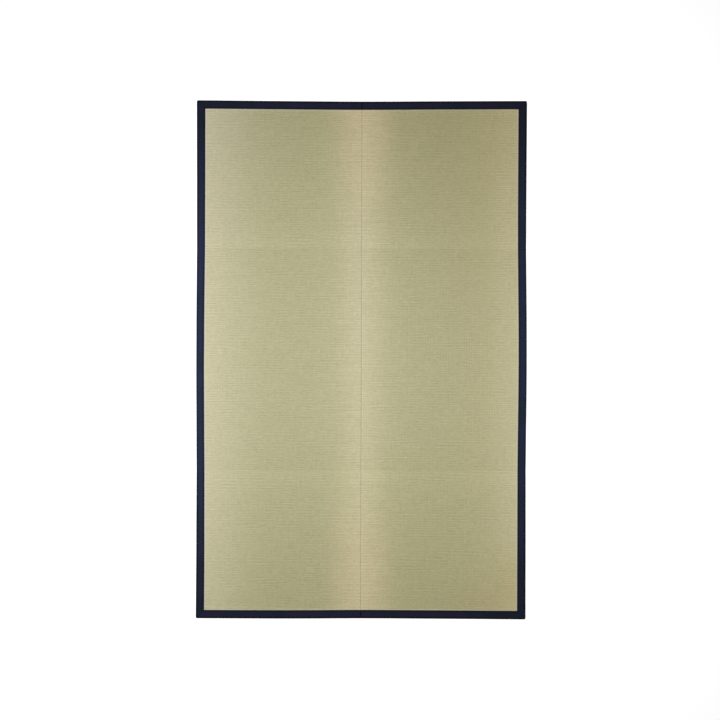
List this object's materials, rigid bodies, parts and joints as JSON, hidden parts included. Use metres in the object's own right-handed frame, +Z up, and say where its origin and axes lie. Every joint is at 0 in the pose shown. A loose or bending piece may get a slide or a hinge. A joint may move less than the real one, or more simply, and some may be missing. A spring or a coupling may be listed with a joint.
{
  "type": "rush rug",
  "caption": "Flat rush rug: ribbed woven rush panels meeting in a lengthwise seam, edged all round with navy cotton tape, mitred at the corners.",
  "frame": {"origin": "on the floor, under the middle of the rug", "axes": "+Y along the length and the seam, towards the head; +X to the right across the panels; +Z up from the floor"},
  "size_m": [1.9148, 3.0026, 0.0101],
  "materials": {
    "rush": "dry woven rush, khaki green in the middle of each panel and pale straw at its sides, with a slight satin sheen",
    "binding": "matt navy cotton tape, closely woven"
  },
  "bodies": {
    "root": {"panel_left": "rush", "panel_right": "rush", "binding_left": "binding", "binding_right": "binding", "binding_head": "binding", "binding_foot": "binding"}
  },
  "joints": []
}
